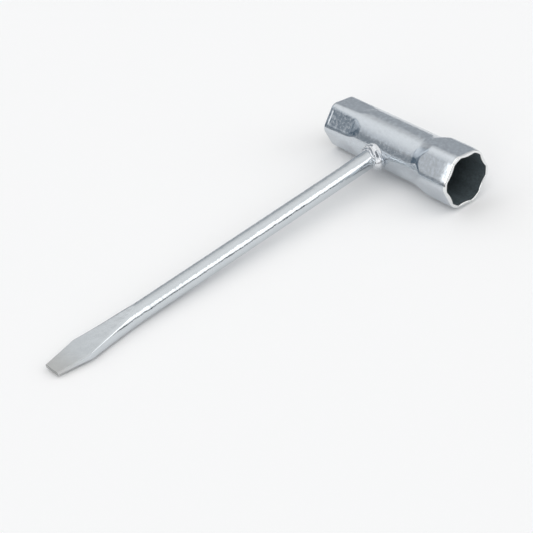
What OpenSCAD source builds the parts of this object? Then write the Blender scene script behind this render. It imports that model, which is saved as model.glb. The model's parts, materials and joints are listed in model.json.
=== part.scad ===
// T-shaped spark plug wrench: a short head tube formed to a hexagon at each end,
// and a round bar welded square to its middle that ends in a forged screwdriver blade.
// The head tube lies along X, the bar runs along -Y and Z is square to both.
// The origin is where the head's axis meets the bar's axis.

/* [Head tube] */
// Outside diameter of the round middle of the head
tube_d = 21; // [20:0.5:23]
// Thickness of the tube's wall
tube_wall = 1.5; // [1.2:0.1:1.8]
// Distance from the bar's axis to the mouth of the large socket
large_reach = 41; // [36:1:60]
// Distance from the bar's axis to the mouth of the small socket
small_reach = 28.8; // [27:0.1:50]
// Angle from the bar's direction up to the nearest hexagon corner, in degrees
hex_roll = 11.5; // [0:0.5:60]
// Bevel that takes the sharp edge off both mouths
mouth_bevel = 0.35; // [0.1:0.05:0.5]

/* [Large socket] */
// Width across flats of the plug that the large socket turns
large_af = 19; // [18:0.5:21]
// Straight length of the large hexagon, measured from its mouth
large_depth = 14; // [10:0.5:18]
// Length of the flare from the round tube to the corners of the large hexagon
large_blend = 6.5; // [3:0.5:8]
// Radius of the rounded outer corners of the large hexagon
large_corner_r = 5; // [2:0.1:8]
// Radius of the inward bow of each inner side of the large socket
large_bow_r = 13; // [10:0.5:40]
// Depth of the lobes in the large socket, beyond the corners of its plug
large_lobe = 0.3; // [0:0.05:0.4]

/* [Small socket] */
// Width across flats of the plug that the small socket turns
small_af = 16; // [14:0.5:16.5]
// Straight length of the small hexagon, measured from its mouth
small_depth = 15.5; // [10:0.5:17]
// Length over which the flats of the small hexagon fade into the round tube
small_blend = 5; // [3:0.5:7]

/* [Fits] */
// Width over a plug's rounded corners, as a multiple of its width across flats
plug_corners = 1.13; // [1.1:0.005:1.15]
// Play across the flats between a plug and its socket
flat_play = 0.2; // [0.1:0.05:0.4]
// Radial play between a plug's corners and its socket
corner_play = 0.1; // [0.05:0.05:0.2]
// Root gap that the weld bridges between the bar's foot and the tube
root_gap = 0.05; // [0:0.01:0.2]

/* [Driver bar] */
// Diameter of the round bar
bar_d = 7.4; // [6:0.1:8]
// Distance from the head's axis to the tip of the blade
bar_reach = 168; // [120:1:220]
// Length over which the bar is flattened into the blade
blade_len = 38; // [30:1:50]
// How hollow the blade's faces run: 1 is a straight wedge
blade_hollow = 1.5; // [1:0.1:2.4]
// Thickness of the blade at its tip
blade_tip_t = 1.4; // [0.5:0.1:2]
// Width of the blade at its tip
blade_tip_w = 7.4; // [5:0.1:9]
// Width of the blade at its shoulders
shoulder_w = 11.9; // [10:0.1:15]
// Length of the tapered end, from the shoulders to the tip
shoulder_len = 14; // [12:0.5:24]
// Length over which the bar spreads out to the shoulders
flare_len = 29; // [20:0.5:34]
// How late the bar spreads to the shoulders: 1 is a straight cone
flare_hollow = 2; // [1:0.1:3]

/* [Weld] */
// Reach of the weld along the tube, out from the bar's surface
weld_foot = 2; // [1.5:0.1:3]
// Reach of the weld along the bar, up from the tube's surface
weld_climb = 2.7; // [2:0.1:4]
// Share by which the weld is larger on its heavy side
weld_lean = 0.28; // [0:0.02:0.4]
// Angle of the heavy side round the bar, from the large socket up, in degrees
weld_lean_at = -20; // [-180:5:180]
// Number of rings that the weld was laid in
weld_rings = 3; // [1:1:4]
// Height of each ring above the grooves beside it
weld_ring_h = 0.4; // [0:0.05:0.6]
// Height of the uneven lumps round the weld
weld_lump_h = 0.25; // [0:0.05:0.5]
// Height of the smooth drop where the weld ends, on its heavy side
weld_drop_h = 0.6; // [0:0.05:1]
// Half width of that drop round the bar, in degrees
weld_drop_w = 34; // [20:1:50]

/* [Hidden] */

$fn = 96;
zinc = [0.74, 0.77, 0.79];
zinc_weld = [0.68, 0.70, 0.72];

// Sides of both sockets, the steps of rounded corners, flares and hollow faces, and the overrun of cuts
sides = 6;
corner_steps = 8;
flare_steps = 6;
blade_steps = 12;
past = 1;

// How late the flare rises: 1 is a straight cone, more is hollow near the round tube
flare_bend = 1.5;

// Radii of the round middle of the tube
tube_r = tube_d / 2;
bore_r = tube_r - tube_wall;

// Large hexagon: half widths across the flats, radii at the corners, stations along X
large_flat_in = (large_af + flat_play) / 2;
large_flat_out = large_flat_in + tube_wall;
large_corner_in = large_af * plug_corners / 2 + corner_play + large_lobe;
large_corner_out = (large_flat_out - large_corner_r) / cos(180 / sides) + large_corner_r;
large_hex_x = large_reach - large_depth;
large_round_x = large_hex_x - large_blend;

// The turned blank stands clear of the large hexagon's corners, past the end of the flare
large_blank_r = large_corner_out + mouth_bevel;
blank_t = pow((large_blank_r - tube_r) / (large_corner_out - tube_r), 1 / flare_bend);

// Small hexagon: its corners keep the tube's outside, and its mouth is on the -X side
small_flat_in = (small_af + flat_play) / 2;
small_flat_out = small_flat_in + tube_wall;
small_corner_in = small_af * plug_corners / 2 + corner_play;
small_hex_x = small_depth - small_reach;
small_relief_x = small_hex_x + small_blend / 2;
small_bore_x = small_relief_x + small_blend;
small_slope = (tube_r - small_flat_out) / small_blend;

// Bar and blade, in distances from the head's axis
bar_r = bar_d / 2;
shoulder_s = bar_reach - shoulder_len;
flare_s = shoulder_s - flare_len;

// The blade's faces start this many blade lengths from the tip, clear of the round bar
blade_clear = 1.25;

// Weld: steps round the bar, over the bead's section and along its seat, and the play under it
weld_steps = 60;
weld_rows = 18;
seat_rows = 3;
weld_seat = 0.01;

// The weld's inner face goes round the bar as a polygon that just clears it
weld_bar_r = bar_r / cos(180 / weld_steps);

// Share, number and turn of each wave that makes the weld lumpy
weld_waves = [[0.6, 2, 70], [0.4, 5, 20]];

// Points of the flare from one radius to another, for shares of its length up to last_t
function flare(from_r, to_r, last_t) = [
    for (i = [0 : flare_steps])
        let (t = last_t * i / flare_steps)
        [from_r + (to_r - from_r) * pow(t, flare_bend), large_round_x + large_blend * t]
];

// Outline of a hexagon with rounded corners, one of them on +Y
function rounded_hexagon(half_w, corner_r) = [
    for (i = [0 : sides - 1])
        for (j = [0 : corner_steps])
            let (
                at = 90 + i * 360 / sides,
                turn = at + (j / corner_steps - 0.5) * 360 / sides
            )
            (half_w - corner_r) / cos(180 / sides) * [cos(at), sin(at)]
                + corner_r * [cos(turn), sin(turn)]
];

// Half thickness of the blade at a share of its length, from 0 at the tip to 1 where the bar is whole
function blade_half_t(t) = blade_tip_t / 2 + (bar_r - blade_tip_t / 2) * pow(t, blade_hollow);

// Outline of one blade face from the head to past the tip, on this side of the bar
function blade_face(side) = concat(
    [[0, side * blade_half_t(blade_clear)]],
    [
        for (i = [0 : blade_steps])
            let (t = blade_clear * (1 - i / blade_steps))
            [blade_len * t - bar_reach, side * blade_half_t(t)]
    ],
    [[-bar_reach - past, side * blade_half_t(0)]]
);

// Distance of the tube's surface from the head's axis, measured along the bar
function saddle(z) = sqrt(tube_r * tube_r - z * z);

// Turns a shape that was drawn along Z so that it runs along the head
module along_head() {
    rotate([0, 90, 0]) children();
}

// Repeats a shape that faces +Y once for each side of the hexagons
module each_side() {
    for (i = [0 : sides - 1])
        rotate([(i + 0.5) * 360 / sides - hex_roll, 0, 0]) children();
}

// Outside of the tube as a turned shape, before its flats are pressed
module head_blank() {
    along_head() rotate_extrude() polygon(concat(
        [
            [0, -small_reach],
            [tube_r - mouth_bevel, -small_reach],
            [tube_r, mouth_bevel - small_reach]
        ],
        flare(tube_r, large_corner_out, blank_t),
        [
            [large_blank_r, large_reach - 2 * mouth_bevel],
            [large_blank_r - 2 * mouth_bevel, large_reach],
            [0, large_reach]
        ]
    ));
}

// Inside of the tube as a turned shape, running out past both mouths
module bore_blank() {
    along_head() rotate_extrude() polygon(concat(
        [
            [0, -small_reach - past],
            [small_corner_in, -small_reach - past],
            [small_corner_in, small_relief_x],
            [bore_r, small_bore_x]
        ],
        flare(bore_r, large_corner_in, 1),
        [
            [large_corner_in, large_reach + past],
            [0, large_reach + past]
        ]
    ));
}

// Space round the large hexagon, which trims the blank to its flats and rounded corners
module large_trim() {
    length = large_reach + past - large_round_x;
    translate([large_round_x, 0, 0]) rotate([-hex_roll, 0, 0]) along_head() difference() {
        cylinder(r = large_blank_r + past, h = length);
        translate([0, 0, -past])
            linear_extrude(length + 2 * past)
                polygon(rounded_hexagon(large_flat_out, large_corner_r));
    }
}

// Block beyond one flat of the small hexagon, with the ramp that fades it into the round
module small_flat(half_w, corner_r) {
    far_r = corner_r + mouth_bevel;
    ramp_x = small_hex_x + (far_r - half_w) / small_slope;
    translate([0, 0, -tube_d]) linear_extrude(2 * tube_d) polygon([
        [-small_reach - 2 * past, half_w],
        [small_hex_x, half_w],
        [ramp_x, far_r],
        [-small_reach - 2 * past, far_r]
    ]);
}

// Rounded swelling that bows one inner side of the large socket inwards
module large_bow() {
    translate([large_round_x, large_flat_in + large_bow_r, 0])
        along_head() cylinder(r = large_bow_r, h = large_reach + 2 * past - large_round_x);
}

// Bevel inside a mouth at +X, as a cone that takes the edge off the sides at this half width
module mouth_cone(half_w, mouth_x) {
    translate([mouth_x - mouth_bevel - past, 0, 0]) along_head()
        cylinder(r1 = half_w - past, r2 = half_w + mouth_bevel + past, h = mouth_bevel + 2 * past);
}

// Space inside the head: two hexagon sockets joined by the round bore
module head_space() {
    difference() {
        bore_blank();
        each_side() small_flat(small_flat_in, small_corner_in);
        each_side() large_bow();
    }
    mouth_cone(large_flat_in, large_reach);
    mirror([1, 0, 0]) mouth_cone(small_flat_in, small_reach);
}

// Head tube with its two formed hexagon sockets
module socket_tube() {
    color(zinc) difference() {
        head_blank();
        large_trim();
        each_side() small_flat(small_flat_out, tube_r);
        head_space();
    }
}

// Round bar that spreads out to the blade's shoulders in a hollow curve, as a turned shape
module bar_blank() {
    spread = [
        for (i = [0 : blade_steps])
            let (t = i / blade_steps)
            [bar_r + (shoulder_w / 2 - bar_r) * pow(t, flare_hollow), flare_s + flare_len * t]
    ];
    rotate([90, 0, 0]) rotate_extrude() polygon(concat(
        [[0, bore_r], [bar_r, bore_r]],
        spread,
        [[blade_tip_w / 2, bar_reach], [0, bar_reach]]
    ));
}

// Space between the two hollow faces of the blade, open over the round bar
module blade_wedge() {
    upper = blade_face(1);
    lower = blade_face(-1);
    translate([-shoulder_w, 0, 0]) rotate([90, 0, 90]) linear_extrude(2 * shoulder_w)
        polygon(concat(upper, [for (i = [len(lower) - 1 : -1 : 0]) lower[i]]));
}

// Bar with its foot cut to the tube's curve and its free end forged into a blade
module driver_bar() {
    color(zinc) difference() {
        intersection() {
            bar_blank();
            blade_wedge();
        }
        translate([-bar_d, 0, 0]) along_head() cylinder(r = tube_r + root_gap, h = 2 * bar_d);
    }
}

// Unevenness of the weld at an angle round the bar, between -1 and 1
function weld_lump(u, i = 0) =
    i == len(weld_waves)
        ? 0
        : weld_waves[i][0] * sin(weld_waves[i][1] * u + weld_waves[i][2]) + weld_lump(u, i + 1);

// Size of the weld at an angle round the bar, 1 on average
function weld_size(u) = 1 + weld_lean * cos(u - weld_lean_at);

// Swell of the weld's rings over its section, from 0 in a groove to 1 on a crest
function weld_ring(t) = (1 - cos(360 * weld_rings * t)) / 2;

// How much of the weld at an angle round the bar belongs to the drop, up to 1 on the heavy side
function weld_drop(u) =
    let (off = (u - weld_lean_at + 540) % 360 - 180)
    exp(-pow(off / weld_drop_w, 2));

// Height of the bead's unevenness: rings and lumps, which give way to the smooth drop
function weld_swell(t, u) =
    weld_ring_h * weld_ring(t) * (1 - weld_drop(u))
        + (weld_lump_h * weld_lump(u) + weld_drop_h * weld_drop(u)) * sin(180 * t);

// Point at a distance from the bar's axis, an angle round it and a height over the tube
function weld_point(rho, u, h) = [
    rho * cos(u),
    -saddle(rho * sin(u)) - weld_seat - h,
    rho * sin(u)
];

// Point of the bead's outside, from its foot on the tube (t = 0) to its edge on the bar (t = 1)
function weld_skin(t, u) =
    let (swell = weld_swell(t, u))
    weld_point(
        weld_bar_r + (weld_foot * weld_size(u) + swell) * cos(90 * t),
        u,
        (weld_climb * weld_size(u) + swell) * sin(90 * t)
    );

// One section of the weld: the bead's outside, then its inner edge and its seat on the tube
function weld_section(u) = concat(
    [for (j = [0 : weld_rows]) weld_skin(j / weld_rows, u)],
    [
        for (j = [0 : seat_rows - 1])
            weld_point(weld_bar_r + weld_foot * weld_size(u) * j / seat_rows, u, 0)
    ]
);

// Weld that runs round the bar's foot on the saddle of the tube, laid in rings
module weld_bead() {
    count = weld_rows + seat_rows + 1;
    points = [for (i = [0 : weld_steps - 1]) each weld_section(i * 360 / weld_steps)];
    faces = [
        for (i = [0 : weld_steps - 1])
            for (j = [0 : count - 1])
                let (
                    near = i * count,
                    far = (i + 1) % weld_steps * count,
                    next = (j + 1) % count
                )
                each [
                    [near + j, near + next, far + next],
                    [near + j, far + next, far + j]
                ]
    ];
    color(zinc_weld) polyhedron(points, faces);
}

socket_tube();
driver_bar();
weld_bead();
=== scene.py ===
import json
import math
from typing import NamedTuple

import bmesh
import bpy
import numpy as np
from bpy.props import FloatProperty, FloatVectorProperty, IntProperty, PointerProperty
from mathutils import Matrix, Vector


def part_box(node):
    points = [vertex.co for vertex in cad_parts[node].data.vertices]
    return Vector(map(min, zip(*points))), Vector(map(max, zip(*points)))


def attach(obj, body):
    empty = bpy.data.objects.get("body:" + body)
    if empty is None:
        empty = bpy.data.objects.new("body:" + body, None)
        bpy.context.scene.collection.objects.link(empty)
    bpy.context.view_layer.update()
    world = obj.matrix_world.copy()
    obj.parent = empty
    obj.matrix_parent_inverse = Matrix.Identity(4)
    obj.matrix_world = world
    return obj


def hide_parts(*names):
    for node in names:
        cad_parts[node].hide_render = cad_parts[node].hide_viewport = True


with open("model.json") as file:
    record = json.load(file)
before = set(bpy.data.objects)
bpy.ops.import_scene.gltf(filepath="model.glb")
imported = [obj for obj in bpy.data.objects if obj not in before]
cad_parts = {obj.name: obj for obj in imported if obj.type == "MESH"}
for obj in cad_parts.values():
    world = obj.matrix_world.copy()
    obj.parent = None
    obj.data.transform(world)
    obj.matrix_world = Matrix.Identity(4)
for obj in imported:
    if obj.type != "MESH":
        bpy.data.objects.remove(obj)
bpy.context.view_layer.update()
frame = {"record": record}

bl_info = {
    "name": "Spark plug wrench",
    "version": (1, 0, 0),
    "blender": (4, 5, 0),
    "location": "3D View > Sidebar > Wrench",
    "description": "Builds a zinc-plated T wrench with two hexagon sockets and a screwdriver blade",
    "category": "Add Mesh",
}

MM = 0.001
SENSOR_WIDTH = 36.0      # of the camera, in millimetres

# What the imported part gives: the boxes of two of its pieces and its mounts
TUBE_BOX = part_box("socket_tube")
BAR_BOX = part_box("driver_bar")
MOUNTS = {mount["name"]: mount for mount in frame["record"]["mounts"]}

# Sides of the hexagons and the angle that each takes
SIDES = 6
SECTOR = 2 * math.pi / SIDES

# Rings of the head tube
# The inside's material is painted shade: a near-black colour that stands for the shade inside the tube
OUTSIDE, INSIDE, RIM = 0, 1, 2      # numbers of their materials
ROUND_RINGS = 7      # rings over each rounded edge
SMALL_RIM_RINGS = 2      # rings of the small lip that have the rim's finish

# Section of the bar
FINE_POINTS = 200      # points along each part of a quarter
EDGE_LIMIT = 0.98      # most of half the thickness that a rounded edge takes
TURN_WEIGHT = 0.5      # how much turning counts, against length, where points are spaced

# Zinc plating
PATCH_LEVELS = (0.3, 0.7)      # noise where a patch starts and where it is full
DULL_LEVELS = (0.35, 0.75)      # strength of a patch where it starts to be dull and where it is dullest
GRAIN_SHARE = 0.06      # depth of the grain as a share of the patches' depth
LINE_SHARE = 0.1      # depth of the drawn lines as a share of the patches' depth

# Drawn lines per metre along X, Y and Z: few along the way that the steel was drawn
DRAWN_ALONG_X = (40.0, 600.0, 600.0)
DRAWN_ALONG_Y = (600.0, 40.0, 600.0)
NOT_DRAWN = (300.0, 300.0, 300.0)

# Painted shade: dull dark colour painted inside the tube and in the weld's grooves
PAINTED_SHADE_LIGHTER = 1.5      # colour of its patches as a multiple of its own
PAINTED_SHADE_ROUGHNESS = (0.5, 0.65)      # roughness outside and inside its patches


def size(name, description, default):
    """A length that the user can set, in metres."""
    return FloatProperty(name=name, description=description, default=default, unit="LENGTH", precision=5)


def turn(name, description, degrees):
    """An angle that the user can set."""
    default = math.radians(degrees)
    return FloatProperty(name=name, description=description, default=default, subtype="ANGLE")


def number(name, description, default):
    """A plain number that the user can set."""
    return FloatProperty(name=name, description=description, default=default, min=0.0, precision=3)


def tint(name, description, default):
    """A colour that the user can set."""
    return FloatVectorProperty(
        name=name, description=description, default=default, size=3, min=0.0, max=1.0, subtype="COLOR"
    )


def place(name, description, default):
    """A point or a direction that the user can set."""
    return FloatVectorProperty(
        name=name, description=description, default=default, subtype="XYZ", precision=5
    )


def count(name, description, default):
    """A number of steps that the user can set."""
    return IntProperty(name=name, description=description, default=default, min=3)


class HeadTubeSettings(bpy.types.PropertyGroup):
    """Sizes of the head tube and its two hexagon sockets."""

    radius: size("Radius", "Outside radius of the round middle", 10.5 * MM)
    bore: size("Bore", "Inside radius of the round middle", MOUNTS["tube_bore"]["dims"]["r_mm"] * MM)
    small_reach: size("Small Reach", "From the bar's axis to the small mouth", -TUBE_BOX[0].x)
    large_reach: size("Large Reach", "From the bar's axis to the large mouth", TUBE_BOX[1].x)
    hex_roll: turn("Hexagon Roll", "From the bar's direction up to the nearest corner", 11.5)
    large_flat: size("Large Flat", "Half width over the outer flats of the large end", 11.09 * MM)
    large_corner: size("Large Corner", "Radius of the large end's outer corners", 5 * MM)
    large_depth: size("Large Depth", "Straight length of the large hexagon", 14 * MM)
    flare_length: size("Flare Length", "From the round tube to the large hexagon's corners", 6.5 * MM)
    flare_bend: number("Flare Bend", "How late the flare rises; 1 is a straight cone", 1.5)
    flare_limit: number("Flare Limit", "Rise at which the flare stops; past 1 the hexagon cuts it off", 2.0)
    small_flat: size("Small Flat", "Half width over the outer flats of the small end", 9.72 * MM)
    small_depth: size("Small Depth", "Straight length of the small hexagon", 14.8 * MM)
    small_taper: number("Small Taper", "How steeply the small flats draw in towards their mouth", 0.02)
    panel_inset: size("Panel Inset", "From a small flat's edges to its pressed panel", 0.5 * MM)
    panel_start: size("Panel Start", "From the small mouth to that panel", 1.5 * MM)
    panel_step: size("Panel Step", "Width of the step down to that panel", 0.8 * MM)
    panel_depth: size("Panel Depth", "Depth of that panel", 0.07 * MM)
    ramp_length: size("Ramp Length", "Length over which the small flats fade out", 4.2 * MM)
    ramp_soft: size("Ramp Soft", "Length over which a small flat bends into its ramp", 1.2 * MM)
    large_inner_flat: size("Large Inner Flat", "Half width between the large end's inner sides", 9.5 * MM)
    large_lobe: size("Large Lobe", "Radius out to the lobes of the large mouth", 10.5 * MM)
    large_inner_blank: size("Large Inner Blank", "Radius that the inside flares out to", 10.95 * MM)
    large_bow: size("Large Bow", "Radius of the inward bow of each inner side", 13 * MM)
    small_inner_flat: size("Small Inner Flat", "Half width between the small end's inner sides", 8.1 * MM)
    small_inner_corner: size("Small Inner Corner", "Radius out to its inner corners", 9.14 * MM)
    crease: size("Crease", "Softening of the pressed edges", 0.3 * MM)
    small_crease: size("Small Crease", "Softening of the small flats' outer edges", 0.4 * MM)
    lip_length: size("Lip Length", "Length over which the large mouth is drawn in", 3.5 * MM)
    lip_soft: size("Lip Soft", "Softening where the large mouth starts to draw in", 3.5 / 3 * MM)
    lip_slope: number("Lip Slope", "How steeply it is drawn in", 0.075)
    small_lip_length: size("Small Lip Length", "Length of the small mouth's rounded lip", 1.2 * MM)
    small_lip_drop: size("Small Lip Drop", "How far that lip draws in", 0.45 * MM)
    rim_drop: size("Rim Drop", "How far the large rim is rounded off outside", 0.2 * MM)
    rim_round: size("Rim Round", "Depth of that rounding", 0.9 * MM)
    mouth_flare: size("Mouth Flare", "How far both mouths open out at their rims", 0.33 * MM)
    mouth_round: size("Mouth Round", "Depth over which they open out", 0.6 * MM)
    panel_run: size("Panel Run", "Length of close rings behind the small lip", 1.2 * MM)
    flare_run: size("Flare Run", "How far the flare's close rings reach into the hexagon", 0.5 * MM)
    lip_run: size("Lip Run", "Length of close rings at the large mouth", 5.25 * MM)
    relief_run: size("Relief Run", "Length of close rings inside, where the small flats end", 8 * MM)
    steps: count("Steps", "Points round the tube", 360)


class DriverBarSettings(bpy.types.PropertyGroup):
    """Sizes of the bar and its screwdriver blade."""

    radius: size("Radius", "Radius of the round bar", 3.7 * MM)
    reach: size("Reach", "From the head's axis to the blade's tip", -BAR_BOX[0].y)
    blade_length: size("Blade Length", "Length over which the bar is flattened", 38 * MM)
    blade_hollow: number("Blade Hollow", "How hollow the blade's faces run; 1 is a straight wedge", 1.5)
    shoulder_width: size("Shoulder Width", "Width of the blade at its shoulders", 11.9 * MM)
    shoulder_length: size("Shoulder Length", "From the shoulders to the tip", 14 * MM)
    flare_length: size("Flare Length", "Length over which the bar spreads to the shoulders", 29 * MM)
    flare_hollow: number("Flare Hollow", "How late the bar spreads; 1 is a straight cone", 2.0)
    tip_width: size("Tip Width", "Width of the blade at its tip", 7.4 * MM)
    tip_thickness: size("Tip Thickness", "Thickness of the blade at its tip", 1.4 * MM)
    bend_round: size("Bend Round", "Softening of the shoulders' corners", 0.25 * MM)
    bar_edge: size("Bar Edge", "Rounding of the blade's long edges where it leaves the bar", 2.3 * MM)
    tip_edge: size("Tip Edge", "Rounding of the blade's long edges at the tip", 0.25 * MM)
    tip_bevel: size("Tip Bevel", "Bevel round the tip's end face", 0.12 * MM)
    foot_run: size("Foot Run", "From the tube to the bar's first plain ring", 1.5 * MM)
    blade_run: size("Blade Run", "How far the blade's close rings reach into the round bar", 4 * MM)
    shoulder_run: size("Shoulder Run", "Length of close rings on each side of the shoulders", 2 * MM)
    steps: count("Steps", "Points round the bar", 128)


class WeldSettings(bpy.types.PropertyGroup):
    """Sizes of the weld round the bar's foot."""

    foot: size("Foot", "Reach along the tube, out from the bar", 2 * MM)
    climb: size("Climb", "Reach along the bar, up from the tube", 2.7 * MM)
    lean: number("Lean", "Share by which the weld is larger on its heavy side", 0.28)
    lean_at: turn("Lean At", "Angle of the heavy side round the bar", -20)
    groove_depth: size("Groove Depth", "Depth of the grooves between the weld's runs", 1.3 * MM)
    groove_width: number("Groove Width", "Half width of a groove as a share of the bead", 0.075)
    groove_lip: number("Groove Lip", "How much a groove's banks are thrown up", 0.8)
    # Painted shade: faces where a groove cuts deeper than this share of its depth take a dark colour
    groove_shade_from: number("Groove Shade From", "Share of a groove's depth from which painted shade fills it", 0.5)
    lump_height: size("Lump Height", "Height of the uneven lumps", 0.25 * MM)
    drop_at: turn("Drop At", "Angle of the smooth drop where the weld ends", 3)
    drop_height: size("Drop Height", "Height of that drop", 1.3 * MM)
    drop_width: turn("Drop Width", "Half width of that drop round the bar", 25)
    drop_rise: number("Drop Rise", "Middle of that drop as a share of the bead", 0.42)
    drop_spread: number("Drop Spread", "Half height of that drop as a share of the bead", 0.45)
    sink: size("Sink", "How far the weld's edges sink into tube and bar", 0.15 * MM)
    steps: count("Steps", "Points round the bar", 180)
    rows: count("Rows", "Points over the bead's section", 72)


class FinishSettings(bpy.types.PropertyGroup):
    """Colours and texture of the zinc plating, and of the painted shade inside the tube and in the weld's
    grooves.
    """

    tube_colour: tint("Tube Colour", "Zinc on the head tube", (0.632, 0.672, 0.713))
    bar_colour: tint("Bar Colour", "Zinc on the bar and blade", (0.65, 0.685, 0.712))
    weld_colour: tint("Weld Colour", "Zinc on the weld", (0.76, 0.78, 0.805))
    rim_colour: tint("Rim Colour", "Bright cut ends of the tube", (0.85, 0.862, 0.862))
    # Painted shade: near-black colour that stands for the shade inside the tube
    inside_shade_colour: tint("Inside Shade Colour", "Painted shade inside the tube", (0.067, 0.086, 0.094))
    # Painted shade: grey colour that darkens the weld's grooves
    groove_shade_colour: tint("Groove Shade Colour", "Painted shade in the weld's grooves", (0.4, 0.42, 0.44))
    worn_tint: tint("Worn Tint", "Tint of the zinc where the blade's tip is worn", (0.92, 0.885, 0.845))
    ground_tint: tint("Ground Tint", "Tint of the blade's ground end face", (0.6, 0.6, 0.6))
    ground_start: size("Ground Start", "From the tip to where that tint starts", 0.3 * MM)
    ground_full: size("Ground Full", "From the tip to where that tint is full", 0.1 * MM)
    tube_contrast: number("Tube Contrast", "How much darker the tube is between its patches", 0.13)
    bar_contrast: number("Bar Contrast", "The same for the bar, the weld and the rims", 0.04)
    tube_shine: number("Tube Shine", "Roughness of tube and rims where they are smoothest", 0.11)
    bar_shine: number("Bar Shine", "Roughness of the bar where it is smoothest", 0.13)
    weld_shine: number("Weld Shine", "Roughness of the weld where it is smoothest", 0.195)
    tube_dull: number("Tube Dull", "Roughness that dull patches add on tube and rims", 0.16)
    bar_dull: number("Bar Dull", "Roughness that dull patches add on bar and weld", 0.06)
    tube_patch: size("Tube Patch", "Size of the tube's patches", 0.72 * MM)
    bar_patch: size("Bar Patch", "Size of the bar's patches", 1.65 * MM)
    weld_patch: size("Weld Patch", "Size of the weld's patches", 0.33 * MM)
    rim_patch: size("Rim Patch", "Size of the rims' patches", 0.275 * MM)
    # Patch size of the painted shade inside the tube and in the weld's grooves
    painted_shade_patch: size("Painted Shade Patch", "Size of the patches in the painted shade", 0.55 * MM)
    tube_depth: size("Tube Depth", "Depth of the unevenness under the tube's plating", 0.013 * MM)
    bar_depth: size("Bar Depth", "Depth of the unevenness under the bar's plating", 0.16 * MM)
    fine_depth: size("Fine Depth", "Depth of the unevenness on weld and rims", 0.008 * MM)
    blade_even: number("Blade Even", "Share of the bar's unevenness that the blade keeps", 0.25)
    even_reach: size("Even Reach", "From the shoulders to where the bar has all of it", 30 * MM)


class StageSettings(bpy.types.PropertyGroup):
    """Floor, light and camera."""

    camera_at: place("Camera At", "Place of the camera", (0.434828, -0.353921, 0.380234))
    camera_aim: place("Camera Aim", "Point that the camera looks at", (0.018415, -0.08233, 0.000181))
    camera_roll: turn("Camera Roll", "Turn of the camera about its view", -12.584)
    camera_lens: number("Camera Lens", "Focal length in millimetres", 115.264)
    floor_drop: size("Floor Drop", "Depth of the floor below the point where the axes cross", 10.81 * MM)
    floor_normal: place("Floor Normal", "Direction square to the floor", (0.0277, 0.0544, 1.0))
    floor_half: size("Floor Half", "Half the floor's width", 4.0)
    floor_left: size("Floor Left", "From the head to the floor's left edge", 0.25)
    floor_colour: tint("Floor Colour", "Colour of the pale floor", (0.965, 0.965, 0.965))
    floor_rough: number("Floor Rough", "Roughness of the floor", 0.9)
    light_level: number("Light Level", "Brightness of the whole studio", 0.87)
    horizon_colour: tint("Horizon Colour", "Dark edge of the studio at eye level", (0.09, 0.1, 0.115))
    wall_colour: tint("Wall Colour", "Grey wall above that edge", (0.5, 0.51, 0.52))
    ceiling_colour: tint("Ceiling Colour", "White ceiling", (1.0, 1.0, 1.0))
    screen_colour: tint("Screen Colour", "Grey screen low on the left", (0.4, 0.43, 0.46))
    side_colour: tint("Side Colour", "Dark corner of the room on the left", (0.155, 0.203, 0.252))
    back_colour: tint("Back Colour", "Low wall behind the wrench", (0.545, 0.572, 0.6))
    left_power: number("Left Power", "Brightness that the high panel on the left adds", 0.3)
    window_power: number("Window Power", "Brightness that the window at the front left adds", 1.9)
    side_power: number("Side Power", "Brightness that the window in the dark corner adds", 0.6)
    front_power: number("Front Power", "Brightness that the low lamp at the front adds", 2.2)
    top_power: number("Top Power", "Brightness that the lamp above the camera adds", 0.85)
    right_power: number("Right Power", "Brightness that the low panel on the right adds", 1.3)
    halo_power: number("Halo Power", "Brightness that the glow above the right panel adds", 0.12)


class WallArea(NamedTuple):
    """Round soft area of the studio's walls, in degrees; it fades out between its core and its edge."""

    azimuth: float
    elevation: float
    core: float
    edge: float


LEFT_PANEL = WallArea(azimuth=-64, elevation=52, core=20, edge=36)
RIGHT_PANEL = WallArea(azimuth=130, elevation=20, core=16, edge=25)
RIGHT_HALO = WallArea(azimuth=141, elevation=52, core=15, edge=45)
WINDOW = WallArea(azimuth=-28, elevation=32, core=4.5, edge=9.5)
SIDE_WINDOW = WallArea(azimuth=-78, elevation=24, core=10, edge=19)
FRONT_LAMP = WallArea(azimuth=31, elevation=22, core=8, edge=16)
TOP_LAMP = WallArea(azimuth=60, elevation=62, core=8, edge=26)
GREY_SCREEN = WallArea(azimuth=-45, elevation=3, core=5, edge=22)
DARK_SIDE = WallArea(azimuth=-72, elevation=14, core=22.5, edge=29.5)
BACK_WALL = WallArea(azimuth=226, elevation=15, core=14, edge=30)

# Where the walls, the right panel and the ceiling fade in, as the sine of the angle above the floor
WALL_RISE = (0.06, 0.22)
RIGHT_PANEL_RISE = (0.15, 0.21)
CEILING_RISE = (0.15, 0.85)


class Groove(NamedTuple):
    """Groove of the weld: its middle round the bar in degrees and up the bead as a share of it.

    The slant is the rise for each radian round the bar, and the half length is in degrees.
    """

    at: float
    rise: float
    slant: float
    half_length: float


GROOVES = (
    Groove(at=73, rise=0.73, slant=-0.13, half_length=34),
    Groove(at=33, rise=0.41, slant=0.04, half_length=23),
    Groove(at=112, rise=0.38, slant=0.1, half_length=30),
    Groove(at=160, rise=0.66, slant=-0.1, half_length=36),
    Groove(at=205, rise=0.36, slant=0.08, half_length=32),
    Groove(at=250, rise=0.62, slant=-0.06, half_length=34),
    Groove(at=300, rise=0.4, slant=0.1, half_length=30),
)


class Wave(NamedTuple):
    """Wave of the weld's lumps: its share of their height, lumps round the bar and start in radians."""

    height: float
    lumps: int
    start: float


LUMP_WAVES = (Wave(height=0.6, lumps=2, start=1.22), Wave(height=0.4, lumps=5, start=0.35))


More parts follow.
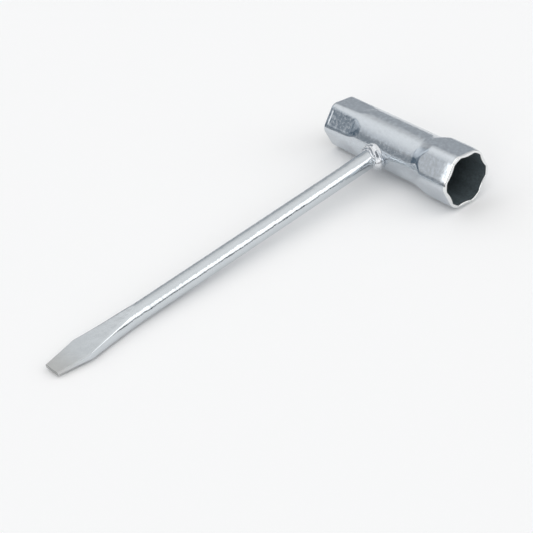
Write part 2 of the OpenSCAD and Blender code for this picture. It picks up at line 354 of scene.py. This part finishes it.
def smooth_min(a, b, soft):
    """The lesser of two values, with the corner between them rounded over this width."""
    blend = np.clip(soft - np.abs(a - b), 0, None) / soft
    return np.minimum(a, b) - blend * blend * soft / 4


def smooth_max(a, b, soft):
    """The greater of two values, rounded the same way."""
    return -smooth_min(-a, -b, soft)


def step_up(value, start, width):
    """0 before the start and 1 after this width, with a smooth rise between them."""
    part = np.clip((value - start) / width, 0, 1)
    return part * part * (3 - 2 * part)


def rounded_end(depth, length, drop):
    """How far an edge that is rounded over this length draws in, at a depth below its end face."""
    rest = np.clip(1 - depth / length, 0, 1)
    return drop * (1 - np.sqrt(1 - rest**2))


def stations(*stretches):
    """Places along a line: each stretch is (start, end, steps), and shared ends appear once."""
    runs = [np.linspace(start, end, steps + 1) for start, end, steps in stretches]
    return np.concatenate([runs[0]] + [run[1:] for run in runs[1:]])


def half_turn(angle):
    """The same angle between minus and plus half a turn."""
    return (angle + math.pi) % (2 * math.pi) - math.pi


def from_corner(angle):
    """Angle to the nearest corner of a hexagon that has one at 0."""
    return np.abs((angle + SECTOR / 2) % SECTOR - SECTOR / 2)


def flat_radius(angle, half_width):
    """Distance from the axis to the sides of a hexagon."""
    return half_width / np.cos(SECTOR / 2 - from_corner(angle))


def rounded_hexagon(angle, half_width, corner):
    """Distance from the axis to a hexagon whose corners are rounded."""
    centre = (half_width - corner) / math.cos(SECTOR / 2)
    off = from_corner(angle)
    reach = corner * math.sin(SECTOR / 2)
    last = math.atan2(reach, centre + corner * math.cos(SECTOR / 2))
    arc = centre * np.cos(off) + np.sqrt(np.clip(corner**2 - (centre * np.sin(off)) ** 2, 0, None))
    return np.where(off < last, arc, flat_radius(angle, half_width))


def bowed_side(angle, half_width, bow):
    """Distance from the axis to six round swellings that bow the sides of a hexagon inwards."""
    off = SECTOR / 2 - from_corner(angle)
    centre = half_width + bow
    inside = np.clip(bow**2 - (centre * np.sin(off)) ** 2, 0, None)
    return np.where(centre * np.sin(off) < bow, centre * np.cos(off) - np.sqrt(inside), centre)


def sheet_of_rings(name, rings, finish=None, loop=False, caps=()):
    """Mesh of quads through rings with equally many points; a loop joins the last ring to the first.

    The finish gives the number of each quad's material, and each cap closes a ring with a middle point.
    """
    rows, around = rings.shape[:2]
    row = np.arange(rows if loop else rows - 1)[:, None]
    step = np.arange(around)[None, :]
    here, after = row * around, (row + 1) % rows * around
    beside = (step + 1) % around
    quads = np.stack([here + step, here + beside, after + beside, after + step], axis=-1)
    faces = quads.reshape(-1, 4).tolist()
    points = rings.reshape(-1, 3)
    for ring, middle in caps:
        hub = len(points)
        points = np.vstack([points, middle])
        first = ring * around
        faces += [[first + i, first + (i + 1) % around, hub] for i in range(around)]
    mesh = bpy.data.meshes.new(name)
    mesh.from_pydata(points.tolist(), [], faces)
    mesh.validate()
    mesh.shade_smooth()
    if finish is not None:
        slots = np.broadcast_to(finish, (len(row), around)).astype(np.int32)
        mesh.polygons.foreach_set("material_index", slots.ravel())
    mesh.update()
    return mesh


def face_outwards(mesh):
    """Turns the faces of a closed mesh so that they all look outwards."""
    tool = bmesh.new()
    tool.from_mesh(mesh)
    bmesh.ops.recalc_face_normals(tool, faces=tool.faces)
    tool.to_mesh(mesh)
    tool.free()


def add_piece(name, mesh, node, slot, *materials):
    """Puts a finished mesh in the scene in place of a CAD node, riding on the one body."""
    face_outwards(mesh)
    for material in materials:
        mesh.materials.append(material)
    piece = bpy.data.objects.new(name, mesh)
    bpy.context.scene.collection.objects.link(piece)
    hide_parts(node)
    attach(piece, "root")


def pressed_panel(head, x, angle):
    """How deep the press sank the panels in the small flats."""
    half_flat = math.sqrt(head.radius**2 - head.small_flat**2)
    to_edge = half_flat - head.small_flat * np.tan(SECTOR / 2 - from_corner(angle))
    from_mouth = x + head.small_reach
    inside = step_up(to_edge, head.panel_inset, head.panel_step)
    inside = inside * step_up(from_mouth, head.panel_start, head.panel_step)
    inside = inside * step_up(head.small_depth - from_mouth, 0, head.panel_step)
    return head.panel_depth * inside


def outer_radius(head, x, angle):
    """Distance from the head's axis to its outside."""
    hex_x = head.large_reach - head.large_depth
    corner_out = (head.large_flat - head.large_corner) / math.cos(SECTOR / 2) + head.large_corner
    rise = np.clip((x - hex_x + head.flare_length) / head.flare_length, 0, None) ** head.flare_bend
    blank = head.radius + (corner_out - head.radius) * np.minimum(rise, head.flare_limit)
    small_x = head.small_depth - head.small_reach
    slope = (head.radius - head.small_flat) / head.ramp_length
    lift = smooth_max(x - small_x, np.zeros_like(x), head.ramp_soft) * slope
    taper = head.small_taper * (np.minimum(x, small_x) - small_x + head.small_depth / 2)
    small = flat_radius(angle, head.small_flat + taper + lift) - pressed_panel(head, x, angle)
    large = rounded_hexagon(angle, head.large_flat, head.large_corner)
    body = smooth_min(smooth_min(blank, large, head.crease), small, head.small_crease)
    drawn = smooth_max(x - head.large_reach + head.lip_length, np.zeros_like(x), head.lip_soft)
    edges = rounded_end(head.large_reach - x, head.rim_round, head.rim_drop)
    edges += rounded_end(x + head.small_reach, head.small_lip_length, head.small_lip_drop)
    return body - drawn * head.lip_slope - edges


def inner_radius(head, x, angle):
    """Distance from the head's axis to its inside."""
    hex_x = head.large_reach - head.large_depth
    rise = np.clip((x - hex_x + head.flare_length) / head.flare_length, 0, 1) ** head.flare_bend
    small_x = head.small_depth - head.small_reach
    narrow = np.clip((x - small_x - head.ramp_length / 2) / head.ramp_length, 0, 1)
    blank = np.where(
        x > 0,
        head.bore + (head.large_inner_blank - head.bore) * rise,
        head.small_inner_corner + (head.bore - head.small_inner_corner) * narrow,
    )
    slope = (head.radius - head.small_flat) / head.ramp_length
    small = flat_radius(angle, head.small_inner_flat + np.clip(x - small_x, 0, None) * slope)
    large = bowed_side(angle, head.large_inner_flat, head.large_bow)
    body = smooth_min(blank, np.where(x > 0, large, head.large_lobe), head.crease)
    body = smooth_min(body, np.where(x < 0, small, head.large_lobe), head.crease)
    mouth = np.minimum(head.large_reach - x, x + head.small_reach)
    return body + rounded_end(mouth, head.mouth_round, head.mouth_flare)


def head_tube_mesh(head):
    """Closed mesh of the head tube: outside, large rim, inside and small rim in one loop of rings."""
    small, large = -head.small_reach, head.large_reach
    edge, mouth, lip = head.rim_round, head.mouth_round, head.small_lip_length
    panel_x = small + lip + head.panel_run
    ramp_x = small + head.small_depth
    ramp_start = ramp_x - head.ramp_soft
    ramp_end = ramp_x + head.ramp_length + head.ramp_soft
    relief_x = ramp_x + head.relief_run
    hex_x = large - head.large_depth
    flare_x = hex_x - head.flare_length
    flare_end = hex_x + head.flare_run
    lip_x = large - head.lip_run
    angle = np.linspace(0, 2 * math.pi, head.steps, endpoint=False)[None, :]
    quarter = np.sin(np.linspace(0, math.pi / 2, ROUND_RINGS))
    outside = np.concatenate([
        small + lip * (1 - quarter[::-1]),
        stations(
            (small + lip, panel_x, 12),
            (panel_x, ramp_start, 12),
            (ramp_start, ramp_end, 30),
            (ramp_end, flare_x, 18),
            (flare_x, flare_end, 48),
            (flare_end, lip_x, 14),
            (lip_x, large - edge, 20),
        )[1:-1],
        large - edge * (1 - quarter),
    ])
    inside = np.concatenate([
        large - mouth * (1 - quarter[::-1]),
        stations(
            (large - mouth, hex_x, 16),
            (hex_x, flare_x, 16),
            (flare_x, relief_x, 12),
            (relief_x, ramp_x, 16),
            (ramp_x, small + mouth, 12),
        )[1:-1],
        small + mouth * (1 - quarter),
    ])

    def rings_at(places, radius_of):
        x = places[:, None] + 0 * angle
        r = radius_of(head, x, angle + head.hex_roll)
        return np.stack([x, r * np.cos(angle), r * np.sin(angle)], axis=-1)

    rings = np.concatenate([rings_at(outside, outer_radius), rings_at(inside, inner_radius)])
    finish_of = np.full(len(rings), RIM)
    finish_of[SMALL_RIM_RINGS:len(outside) - ROUND_RINGS] = OUTSIDE
    # The inside rings take the painted shade material
    finish_of[len(outside) + ROUND_RINGS - 1:-ROUND_RINGS] = INSIDE
    return sheet_of_rings("head_tube", rings, finish_of[:, None], loop=True)


def section(radius, half_thickness, edge, steps):
    """Outline of a round bar between two flat faces, with the edges between them rounded."""
    half_thickness = min(half_thickness, radius)
    edge = min(edge, EDGE_LIMIT * half_thickness)
    core_r, core_t = radius - edge, half_thickness - edge
    limit = math.asin(min(1.0, core_t / core_r))
    side = np.linspace(0, limit, FINE_POINTS)
    corner = np.linspace(limit, math.pi / 2, FINE_POINTS)
    corner_at = core_r * np.array([math.cos(limit), math.sin(limit)])
    quarter = np.concatenate([
        radius * np.stack([np.cos(side), np.sin(side)], axis=1),
        corner_at + edge * np.stack([np.cos(corner), np.sin(corner)], axis=1),
        np.linspace([corner_at[0], half_thickness], [0, half_thickness], FINE_POINTS),
    ])
    heading = np.concatenate([side, corner, np.full(FINE_POINTS, math.pi / 2)])
    run = np.concatenate([[0], np.cumsum(np.linalg.norm(np.diff(quarter, axis=0), axis=1))])
    measure = (1 - TURN_WEIGHT) * run / run[-1] + TURN_WEIGHT * heading / (math.pi / 2)
    wanted = np.linspace(0, 1, steps // 4 + 1)
    x, z = (np.interp(wanted, measure, quarter[:, axis]) for axis in (0, 1))
    half = np.concatenate([np.stack([x, z], 1), np.stack([-x[-2::-1], z[-2::-1]], 1)])
    return np.concatenate([half, np.stack([half[-2:0:-1, 0], -half[-2:0:-1, 1]], 1)])


def driver_bar_mesh(bar, tube_radius):
    """Closed mesh of the bar from its foot on the tube to the tip of the blade."""
    shoulder = bar.reach - bar.shoulder_length
    spread = shoulder - bar.flare_length
    blade = bar.reach - bar.blade_length
    blade_start = blade - bar.blade_run
    before, behind = shoulder - bar.shoulder_run, shoulder + bar.shoulder_run
    bevel = bar.reach - bar.tip_bevel
    places = stations(
        (tube_radius + bar.foot_run, spread, 24),
        (spread, blade_start, 6),
        (blade_start, before, 72),
        (before, behind, 16),
        (behind, bevel, 20),
        (bevel, bar.reach, 3),
    )
    half_width, half_tip = bar.shoulder_width / 2, bar.tip_thickness / 2
    narrowing = (bar.shoulder_width - bar.tip_width) / 2 / bar.shoulder_length
    rings = []
    for s in places:
        share_of_flare = max(s - spread, 0) / bar.flare_length
        flared = bar.radius + (half_width - bar.radius) * share_of_flare**bar.flare_hollow
        tapered = bar.tip_width / 2 + (bar.reach - s) * narrowing
        draw = rounded_end(bar.reach - s, bar.tip_bevel, bar.tip_bevel)
        radius = smooth_min(flared, tapered, bar.bend_round) - draw
        to_tip = (bar.reach - s) / bar.blade_length
        half = half_tip + (bar.radius - half_tip) * to_tip**bar.blade_hollow - draw
        fade = np.clip((shoulder - s) / (shoulder - blade), 0, 1)
        outline = section(radius, half, bar.tip_edge + (bar.bar_edge - bar.tip_edge) * fade, bar.steps)
        rings.append(np.stack([outline[:, 0], np.full(len(outline), -s), outline[:, 1]], axis=1))
    foot = rings[0].copy()
    foot[:, 1] = -np.sqrt(tube_radius**2 - foot[:, 2] ** 2)
    rings = np.array([foot] + rings)
    caps = ((0, (0, -tube_radius, 0)), (len(rings) - 1, (0, -bar.reach, 0)))
    return sheet_of_rings("driver_bar", rings, caps=caps)


def weld_mesh(weld, tube_radius, bar_radius):
    """Closed mesh of the weld: a lumpy bead round the bar's foot, with single grooves and a drop."""
    around = np.linspace(0, 2 * math.pi, weld.steps, endpoint=False)[:, None]
    rise = np.linspace(0, 1, weld.rows)[None, :]
    beside_drop = half_turn(around - weld.drop_at) / weld.drop_width
    above_drop = (rise - weld.drop_rise) / weld.drop_spread
    drop = np.sqrt(np.clip(1 - beside_drop**2 - above_drop**2, 0, 1))
    lump = sum(wave.height * np.sin(wave.lumps * around + wave.start) for wave in LUMP_WAVES)
    swell = weld.lump_height * lump * np.sin(math.pi * rise)
    cut = np.zeros_like(swell)
    for groove in GROOVES:
        along = half_turn(around - math.radians(groove.at))
        reach = np.clip(1 - (along / math.radians(groove.half_length)) ** 2, 0, 1)
        across = ((rise - groove.rise - groove.slant * along) / weld.groove_width) ** 2
        cut += np.sqrt(reach) * (1 - weld.groove_lip * across) * np.exp(-across / 2) * (1 - drop)
    swell += weld.drop_height * drop - weld.groove_depth * cut
    scale = 1 + weld.lean * np.cos(around - weld.lean_at)
    out = (weld.foot * scale + swell) * np.cos(rise * math.pi / 2)
    up = (weld.climb * scale + swell) * np.sin(rise * math.pi / 2)
    under = np.array([-weld.sink, weld.foot / 4, weld.foot * 3 / 4])
    out = np.concatenate([out, np.broadcast_to(under, (weld.steps, len(under)))], axis=1)
    up = np.concatenate([up, np.full((weld.steps, len(under)), -weld.sink)], axis=1)
    rho = bar_radius + out
    z = rho * np.sin(around)
    y = -np.sqrt(tube_radius**2 - z**2) - up
    rings = np.stack([rho * np.cos(around), y, z], axis=-1)
    # Faces deep in a groove take the painted shade material
    groove_shade = np.pad(cut > weld.groove_shade_from, ((0, 0), (0, len(under))))
    return sheet_of_rings("weld_bead", rings, groove_shade, loop=True)


def set_or_link(tree, socket, value):
    """Gives an input socket a value, or links another node's output to it."""
    if isinstance(value, bpy.types.NodeSocket):
        tree.links.new(value, socket)
    else:
        socket.default_value = value


def add_node(tree, kind, inputs=None, **settings):
    """Adds a node with its settings; each input is a value or another node's output."""
    made = tree.nodes.new(kind)
    for key, value in settings.items():
        setattr(made, key, value)
    for key, value in (inputs or {}).items():
        set_or_link(tree, made.inputs[key], value)
    return made


def calculate(tree, operation, first, second):
    """Output of a math node."""
    return add_node(tree, "ShaderNodeMath", {0: first, 1: second}, operation=operation).outputs[0]


def combine(tree, blend, factor, first, second):
    """Output of a node that mixes two colours; each is a colour or another node's output."""
    mix = add_node(tree, "ShaderNodeMix", data_type="RGBA", blend_type=blend)
    set_or_link(tree, mix.inputs["Factor"], factor)
    slots = [socket for socket in mix.inputs if socket.type == "RGBA"]
    for slot, colour in zip(slots, (first, second)):
        linked = isinstance(colour, bpy.types.NodeSocket)
        set_or_link(tree, slot, colour if linked else (*colour, 1.0))
    return next(socket for socket in mix.outputs if socket.type == "RGBA")


def remap(tree, value, span, onto=(0.0, 1.0), smooth=False):
    """Output of a node that maps one span of values onto another and holds at its ends."""
    ends = {"From Min": span[0], "From Max": span[1], "To Min": onto[0], "To Max": onto[1]}
    kind = "SMOOTHSTEP" if smooth else "LINEAR"
    made = add_node(tree, "ShaderNodeMapRange", {"Value": value, **ends}, interpolation_type=kind)
    return made.outputs["Result"]


def noise(tree, vector, scale, detail, roughness):
    """Output of a noise texture."""
    inputs = {"Vector": vector, "Scale": scale, "Detail": detail, "Roughness": roughness}
    return add_node(tree, "ShaderNodeTexNoise", inputs).outputs["Fac"]


def new_group(name, inputs, outputs):
    """An empty shader node group with named sockets, and its two end nodes."""
    group = bpy.data.node_groups.new(name, "ShaderNodeTree")
    for socket, kind in inputs.items():
        group.interface.new_socket(socket, in_out="INPUT", socket_type=kind)
    for socket in outputs:
        group.interface.new_socket(socket, in_out="OUTPUT", socket_type="NodeSocketFloat")
    return group, group.nodes.new("NodeGroupInput"), group.nodes.new("NodeGroupOutput")


def mottle_group(name):
    """Mottle of electroplated zinc: soft patches and a fine grain within them."""
    group, start, end = new_group(
        name, {"Place": "NodeSocketVector", "Size": "NodeSocketFloat"}, ("Patch", "Height")
    )
    spread = calculate(group, "DIVIDE", 1.0, start.outputs["Size"])
    grid = add_node(
        group, "ShaderNodeVectorMath", {0: start.outputs["Place"], "Scale": spread}, operation="SCALE"
    ).outputs[0]
    patch = noise(group, grid, scale=0.6, detail=2.0, roughness=0.45)
    grain = noise(group, grid, scale=2.6, detail=2.0, roughness=0.6)
    group.links.new(remap(group, patch, PATCH_LEVELS), end.inputs["Patch"])
    fine = calculate(group, "MULTIPLY", grain, GRAIN_SHARE)
    group.links.new(calculate(group, "ADD", patch, fine), end.inputs["Height"])
    return group


def streak_group(name):
    """Fine lines left by drawing the steel, along the direction that the stretch leaves long."""
    group, start, end = new_group(
        name, {"Place": "NodeSocketVector", "Stretch": "NodeSocketVector"}, ("Line",)
    )
    factors = {0: start.outputs["Place"], 1: start.outputs["Stretch"]}
    drawn = add_node(group, "ShaderNodeVectorMath", factors, operation="MULTIPLY").outputs[0]
    line = noise(group, drawn, scale=1.0, detail=3.0, roughness=0.6)
    group.links.new(line, end.inputs["Line"])
    return group


def wall_area_group(name):
    """How much of a direction lies in a round soft area of the studio's walls."""
    vectors = {"Direction": "NodeSocketVector", "Aim": "NodeSocketVector"}
    values = {"Edge": "NodeSocketFloat", "Core": "NodeSocketFloat"}
    group, start, end = new_group(name, {**vectors, **values}, ("Cover",))
    pair = {0: start.outputs["Direction"], 1: start.outputs["Aim"]}
    near = add_node(group, "ShaderNodeVectorMath", pair, operation="DOT_PRODUCT").outputs["Value"]
    cover = remap(group, near, (start.outputs["Edge"], start.outputs["Core"]), smooth=True)
    group.links.new(cover, end.inputs["Cover"])
    return group


def add_group(tree, name, build, inputs):
    """Adds a node for the group of this name, which is built the first time."""
    group = bpy.data.node_groups.get(name) or build(name)
    return add_node(tree, "ShaderNodeGroup", inputs, node_tree=group)


def new_material(name):
    """A material with its node tree and its shader."""
    material = bpy.data.materials.new(name)
    material.use_nodes = True
    return material, material.node_tree, material.node_tree.nodes["Principled BSDF"]


def zinc_material(name, finish, colour, contrast, shine, dull, patch_size, depth, stretch, blade=None):
    """Bright zinc plating: patchy tint and shine, drawn lines and a slightly uneven face.

    A blade is the places of its shoulders and its tip along Y: it is more even, and worn at its tip.
    """
    material, tree, shader = new_material(name)
    spot = add_node(tree, "ShaderNodeTexCoord").outputs["Object"]
    mottle = add_group(tree, "zinc_mottle", mottle_group, {"Place": spot, "Size": patch_size})
    streaks = add_group(tree, "drawn_streaks", streak_group, {"Place": spot, "Stretch": stretch})
    patch, height = mottle.outputs["Patch"], mottle.outputs["Height"]
    plated = combine(tree, "MIX", patch, [(1 - contrast) * part for part in colour], colour)
    rough = remap(tree, patch, DULL_LEVELS, (shine, shine + dull), smooth=True)
    if blade:
        shoulder, tip = blade
        along = add_node(tree, "ShaderNodeSeparateXYZ", {"Vector": spot}).outputs["Y"]
        wear = remap(tree, along, (shoulder, tip), smooth=True)
        plated = combine(tree, "MULTIPLY", wear, plated, finish.worn_tint)
        ground = remap(tree, along, (tip + finish.ground_start, tip + finish.ground_full))
        plated = combine(tree, "MULTIPLY", ground, plated, finish.ground_tint)
        round_part = (shoulder, shoulder + finish.even_reach)
        uneven = remap(tree, along, round_part, (finish.blade_even, 1.0), smooth=True)
        height = calculate(tree, "MULTIPLY", height, uneven)
    lines = add_node(
        tree,
        "ShaderNodeBump",
        {"Strength": 1.0, "Distance": LINE_SHARE * depth, "Height": streaks.outputs["Line"]},
    ).outputs["Normal"]
    bump = add_node(
        tree, "ShaderNodeBump", {"Strength": 1.0, "Distance": depth, "Height": height, "Normal": lines}
    ).outputs["Normal"]
    tree.links.new(plated, shader.inputs["Base Color"])
    tree.links.new(rough, shader.inputs["Roughness"])
    tree.links.new(bump, shader.inputs["Normal"])
    shader.inputs["Metallic"].default_value = 1.0
    return material


def painted_shade_material(name, colour, patch_size):
    """Painted shade: a dull dark colour with lighter patches, painted inside the tube and in the weld's
    grooves.
    """
    material, tree, shader = new_material(name)
    spot = add_node(tree, "ShaderNodeTexCoord").outputs["Object"]
    mottle = add_group(tree, "zinc_mottle", mottle_group, {"Place": spot, "Size": patch_size})
    patch = mottle.outputs["Patch"]
    painted_shade = combine(tree, "MIX", patch, colour, [PAINTED_SHADE_LIGHTER * part for part in colour])
    tree.links.new(painted_shade, shader.inputs["Base Color"])
    tree.links.new(remap(tree, patch, (0.0, 1.0), PAINTED_SHADE_ROUGHNESS), shader.inputs["Roughness"])
    return material


def floor_material(stage):
    """Plain pale floor."""
    material, _, shader = new_material("floor")
    shader.inputs["Base Color"].default_value = (*stage.floor_colour, 1.0)
    shader.inputs["Roughness"].default_value = stage.floor_rough
    shader.inputs["Specular IOR Level"].default_value = 0.0
    return material


def towards(azimuth, elevation):
    """Unit direction to this azimuth and elevation, in degrees; azimuth 0 is -Y and 90 is +X."""
    turned, raised = math.radians(azimuth), math.radians(elevation)
    flat = math.cos(raised)
    return Vector((math.sin(turned) * flat, -math.cos(turned) * flat, math.sin(raised)))


def studio_world(stage):
    """Soft studio: grey walls, a white ceiling, a low back wall, a grey screen and a dark corner.

    Panels, windows and lamps add their light to these.
    """
    world = bpy.data.worlds.new("studio")
    world.use_nodes = True
    tree = world.node_tree
    direction = add_node(tree, "ShaderNodeTexCoord").outputs["Generated"]
    up = Vector(stage.floor_normal).normalized()
    height = add_node(
        tree, "ShaderNodeVectorMath", {0: direction, 1: up}, operation="DOT_PRODUCT"
    ).outputs["Value"]

    def cover(area):
        inputs = {
            "Direction": direction,
            "Aim": towards(area.azimuth, area.elevation),
            "Edge": math.cos(math.radians(area.edge)),
            "Core": math.cos(math.radians(area.core)),
        }
        return add_group(tree, "wall_area", wall_area_group, inputs).outputs["Cover"]

    wall = remap(tree, height, WALL_RISE, smooth=True)
    room = combine(tree, "MIX", remap(tree, height, CEILING_RISE), stage.wall_colour, stage.ceiling_colour)
    room = combine(tree, "MIX", wall, stage.horizon_colour, room)
    room = combine(tree, "MIX", cover(BACK_WALL), room, stage.back_colour)
    room = combine(tree, "MIX", cover(GREY_SCREEN), room, stage.screen_colour)
    room = combine(tree, "MIX", cover(DARK_SIDE), room, stage.side_colour)
    panel_edge = remap(tree, height, RIGHT_PANEL_RISE, smooth=True)
    for light, power in (
        (cover(LEFT_PANEL), stage.left_power),
        (cover(WINDOW), stage.window_power),
        (cover(SIDE_WINDOW), stage.side_power),
        (cover(FRONT_LAMP), stage.front_power),
        (cover(TOP_LAMP), stage.top_power),
        (calculate(tree, "MULTIPLY", cover(RIGHT_PANEL), panel_edge), stage.right_power),
        (cover(RIGHT_HALO), stage.halo_power),
    ):
        room = combine(tree, "ADD", light, room, [power] * 3)
    background = tree.nodes["Background"]
    background.inputs["Strength"].default_value = stage.light_level
    tree.links.new(room, background.inputs["Color"])
    return world


def add_camera(scene, stage, view):
    """Puts the camera where the photograph was taken."""
    camera = bpy.data.objects.new("camera", bpy.data.cameras.new("camera"))
    scene.collection.objects.link(camera)
    camera.matrix_world = (
        Matrix.Translation(Vector(stage.camera_at))
        @ view.to_track_quat("-Z", "Y").to_matrix().to_4x4()
        @ Matrix.Rotation(stage.camera_roll, 4, "Z")
    )
    camera.data.lens = stage.camera_lens
    camera.data.sensor_width = SENSOR_WIDTH
    scene.camera = camera


def add_floor(scene, stage, view):
    """Lays the floor under the wrench, with its left edge along the camera's view."""
    half, left = stage.floor_half, stage.floor_left
    corners = [(-left, -half, 0), (half, -half, 0), (half, half, 0), (-left, half, 0)]
    mesh = bpy.data.meshes.new("floor")
    mesh.from_pydata(corners, [], [(0, 1, 2, 3)])
    mesh.materials.append(floor_material(stage))
    floor = bpy.data.objects.new("floor", mesh)
    level = Vector(stage.floor_normal).normalized()
    away = level.cross(Vector((view.y, -view.x, 0))).normalized()
    floor.location = (0, 0, -stage.floor_drop)
    floor.rotation_euler = Matrix((away.cross(level), away, level)).transposed().to_euler()
    scene.collection.objects.link(floor)


class WRENCH_OT_head_tube(bpy.types.Operator):
    """Build the head tube with its two hexagon sockets"""

    bl_idname = "wrench.head_tube"
    bl_label = "Head Tube"

    def execute(self, context):
        mesh = head_tube_mesh(context.scene.wrench_head)
        finish = context.scene.wrench_finish
        outside = zinc_material(
            "tube_zinc",
            finish,
            colour=finish.tube_colour,
            contrast=finish.tube_contrast,
            shine=finish.tube_shine,
            dull=finish.tube_dull,
            patch_size=finish.tube_patch,
            depth=finish.tube_depth,
            stretch=DRAWN_ALONG_X,
        )
        # Painted shade inside the tube
        inside = painted_shade_material("tube_inside_shade", finish.inside_shade_colour, finish.painted_shade_patch)
        rim = zinc_material(
            "tube_rim",
            finish,
            colour=finish.rim_colour,
            contrast=finish.bar_contrast,
            shine=finish.tube_shine,
            dull=finish.tube_dull,
            patch_size=finish.rim_patch,
            depth=finish.fine_depth,
            stretch=NOT_DRAWN,
        )
        add_piece("head_tube", mesh, "socket_tube", "zinc_tube", outside, inside, rim)
        return {"FINISHED"}


class WRENCH_OT_driver_bar(bpy.types.Operator):
    """Build the bar with its screwdriver blade"""

    bl_idname = "wrench.driver_bar"
    bl_label = "Driver Bar"

    def execute(self, context):
        bar = context.scene.wrench_bar
        mesh = driver_bar_mesh(bar, context.scene.wrench_head.radius)
        finish = context.scene.wrench_finish
        zinc = zinc_material(
            "bar_zinc",
            finish,
            colour=finish.bar_colour,
            contrast=finish.bar_contrast,
            shine=finish.bar_shine,
            dull=finish.bar_dull,
            patch_size=finish.bar_patch,
            depth=finish.bar_depth,
            stretch=DRAWN_ALONG_Y,
            blade=(bar.shoulder_length - bar.reach, -bar.reach),
        )
        add_piece("driver_bar_blade", mesh, "driver_bar", "zinc_bar", zinc)
        return {"FINISHED"}


class WRENCH_OT_weld(bpy.types.Operator):
    """Build the weld between bar and tube"""

    bl_idname = "wrench.weld"
    bl_label = "Weld"

    def execute(self, context):
        scene = context.scene
        mesh = weld_mesh(scene.wrench_weld, scene.wrench_head.radius, scene.wrench_bar.radius)
        finish = scene.wrench_finish
        zinc = zinc_material(
            "weld_zinc",
            finish,
            colour=finish.weld_colour,
            contrast=finish.bar_contrast,
            shine=finish.weld_shine,
            dull=finish.bar_dull,
            patch_size=finish.weld_patch,
            depth=finish.fine_depth,
            stretch=NOT_DRAWN,
        )
        # Painted shade in the weld's grooves
        groove_shade = painted_shade_material("weld_groove_shade", finish.groove_shade_colour, finish.painted_shade_patch)
        add_piece("weld_ring", mesh, "weld_bead", "zinc_weld", zinc, groove_shade)
        return {"FINISHED"}


class WRENCH_OT_stage(bpy.types.Operator):
    """Set the floor, the light and the camera"""

    bl_idname = "wrench.stage"
    bl_label = "Stage"

    def execute(self, context):
        scene = context.scene
        stage = scene.wrench_stage
        view = Vector(stage.camera_aim) - Vector(stage.camera_at)
        add_camera(scene, stage, view)
        add_floor(scene, stage, view)
        scene.world = studio_world(stage)
        scene.view_settings.view_transform = "Standard"
        return {"FINISHED"}


class WRENCH_PT_panel(bpy.types.Panel):
    """The wrench's pieces in the sidebar"""

    bl_label = "Spark Plug Wrench"
    bl_space_type = "VIEW_3D"
    bl_region_type = "UI"
    bl_category = "Wrench"

    def draw(self, context):
        for operator in OPERATORS:
            self.layout.operator(operator.bl_idname)


SETTINGS = {
    "wrench_head": HeadTubeSettings,
    "wrench_bar": DriverBarSettings,
    "wrench_weld": WeldSettings,
    "wrench_finish": FinishSettings,
    "wrench_stage": StageSettings,
}
OPERATORS = (WRENCH_OT_head_tube, WRENCH_OT_driver_bar, WRENCH_OT_weld, WRENCH_OT_stage)
CLASSES = (*SETTINGS.values(), *OPERATORS, WRENCH_PT_panel)


def register():
    """Registers the classes and gives each scene the settings."""
    for cls in CLASSES:
        bpy.utils.register_class(cls)
    for name, group in SETTINGS.items():
        setattr(bpy.types.Scene, name, PointerProperty(type=group))


def unregister():
    """Takes the settings and the classes away again."""
    for name in SETTINGS:
        delattr(bpy.types.Scene, name)
    for cls in reversed(CLASSES):
        bpy.utils.unregister_class(cls)


def main():
    """Builds the wrench and its stage."""
    register()
    bpy.ops.wrench.head_tube()
    bpy.ops.wrench.driver_bar()
    bpy.ops.wrench.weld()
    bpy.ops.wrench.stage()


if __name__ == "__main__":
    main()
